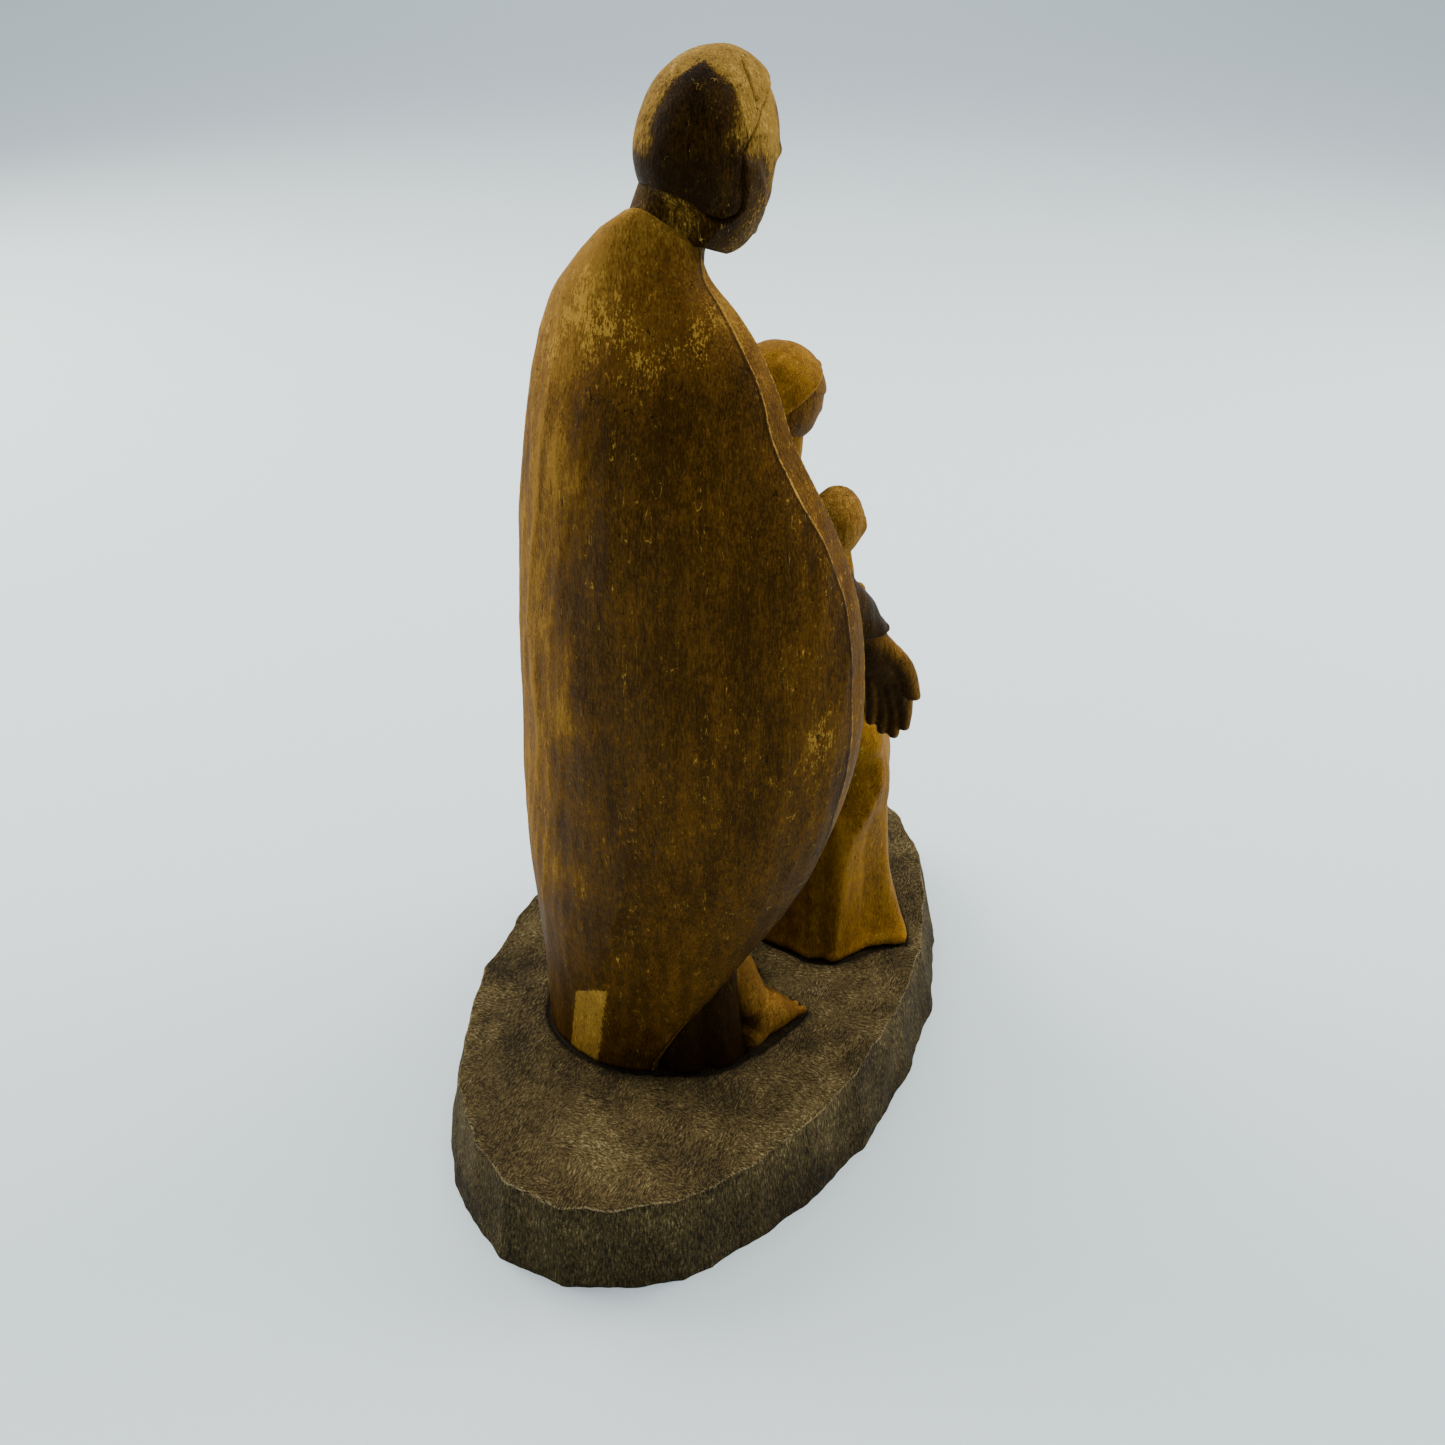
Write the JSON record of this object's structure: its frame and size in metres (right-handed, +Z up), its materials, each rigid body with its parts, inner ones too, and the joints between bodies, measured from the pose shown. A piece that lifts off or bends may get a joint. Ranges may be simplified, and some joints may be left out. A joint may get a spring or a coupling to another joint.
{
  "type": "nativity figurine",
  "caption": "Carved wooden holy family: a cloaked standing man, a seated veiled woman and a child, on an oval chip-carved base.",
  "frame": {"origin": "centre of the base's underside", "axes": "+Z up, +X along the base's long axis from the standing man to the seated woman; the figures' open side looks towards -Y"},
  "size_m": [0.2356, 0.1422, 0.2998],
  "materials": {
    "stained_carved_wood": "hand-carved and stained brown, rubbed back to golden wood on the high edges",
    "grey_stained_wood": "chip-carved and stained a dull grey-brown"
  },
  "bodies": {
    "root": {"holy_family_group": "stained_carved_wood", "oval_base": "grey_stained_wood"}
  },
  "joints": []
}
